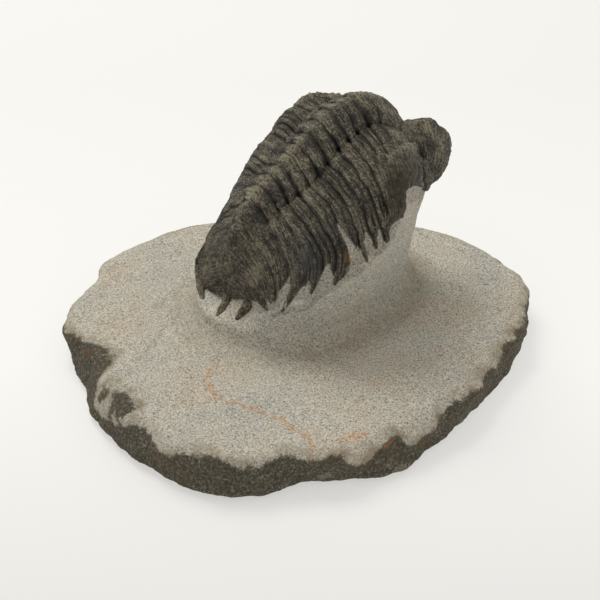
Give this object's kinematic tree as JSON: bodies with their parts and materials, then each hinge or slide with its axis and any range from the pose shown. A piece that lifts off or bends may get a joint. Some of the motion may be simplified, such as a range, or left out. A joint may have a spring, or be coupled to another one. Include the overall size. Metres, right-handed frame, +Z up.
{
  "type": "trilobite fossil",
  "caption": "Arched trilobite fossil on a pedestal of pale limestone rising from its rough oval slab, made to stand on a flat surface as a display piece.",
  "frame": {"origin": "centre of the slab's outline on its flat underside", "axes": "+X along the slab's longer side, +Y across it, +Z up; the animal's head points 28 degrees round from +X towards +Y"},
  "size_m": [0.1527, 0.132, 0.0852],
  "materials": {
    "fossil": "dark grey-brown mineralised shell, satin on the ridges, duller in the furrows",
    "matrix": "air-scribed pale grey limestone with fine dark specks and a dark natural crust on the slab's sides"
  },
  "bodies": {
    "root": {"trilobite": "fossil", "matrix_rock": "matrix"}
  },
  "joints": []
}
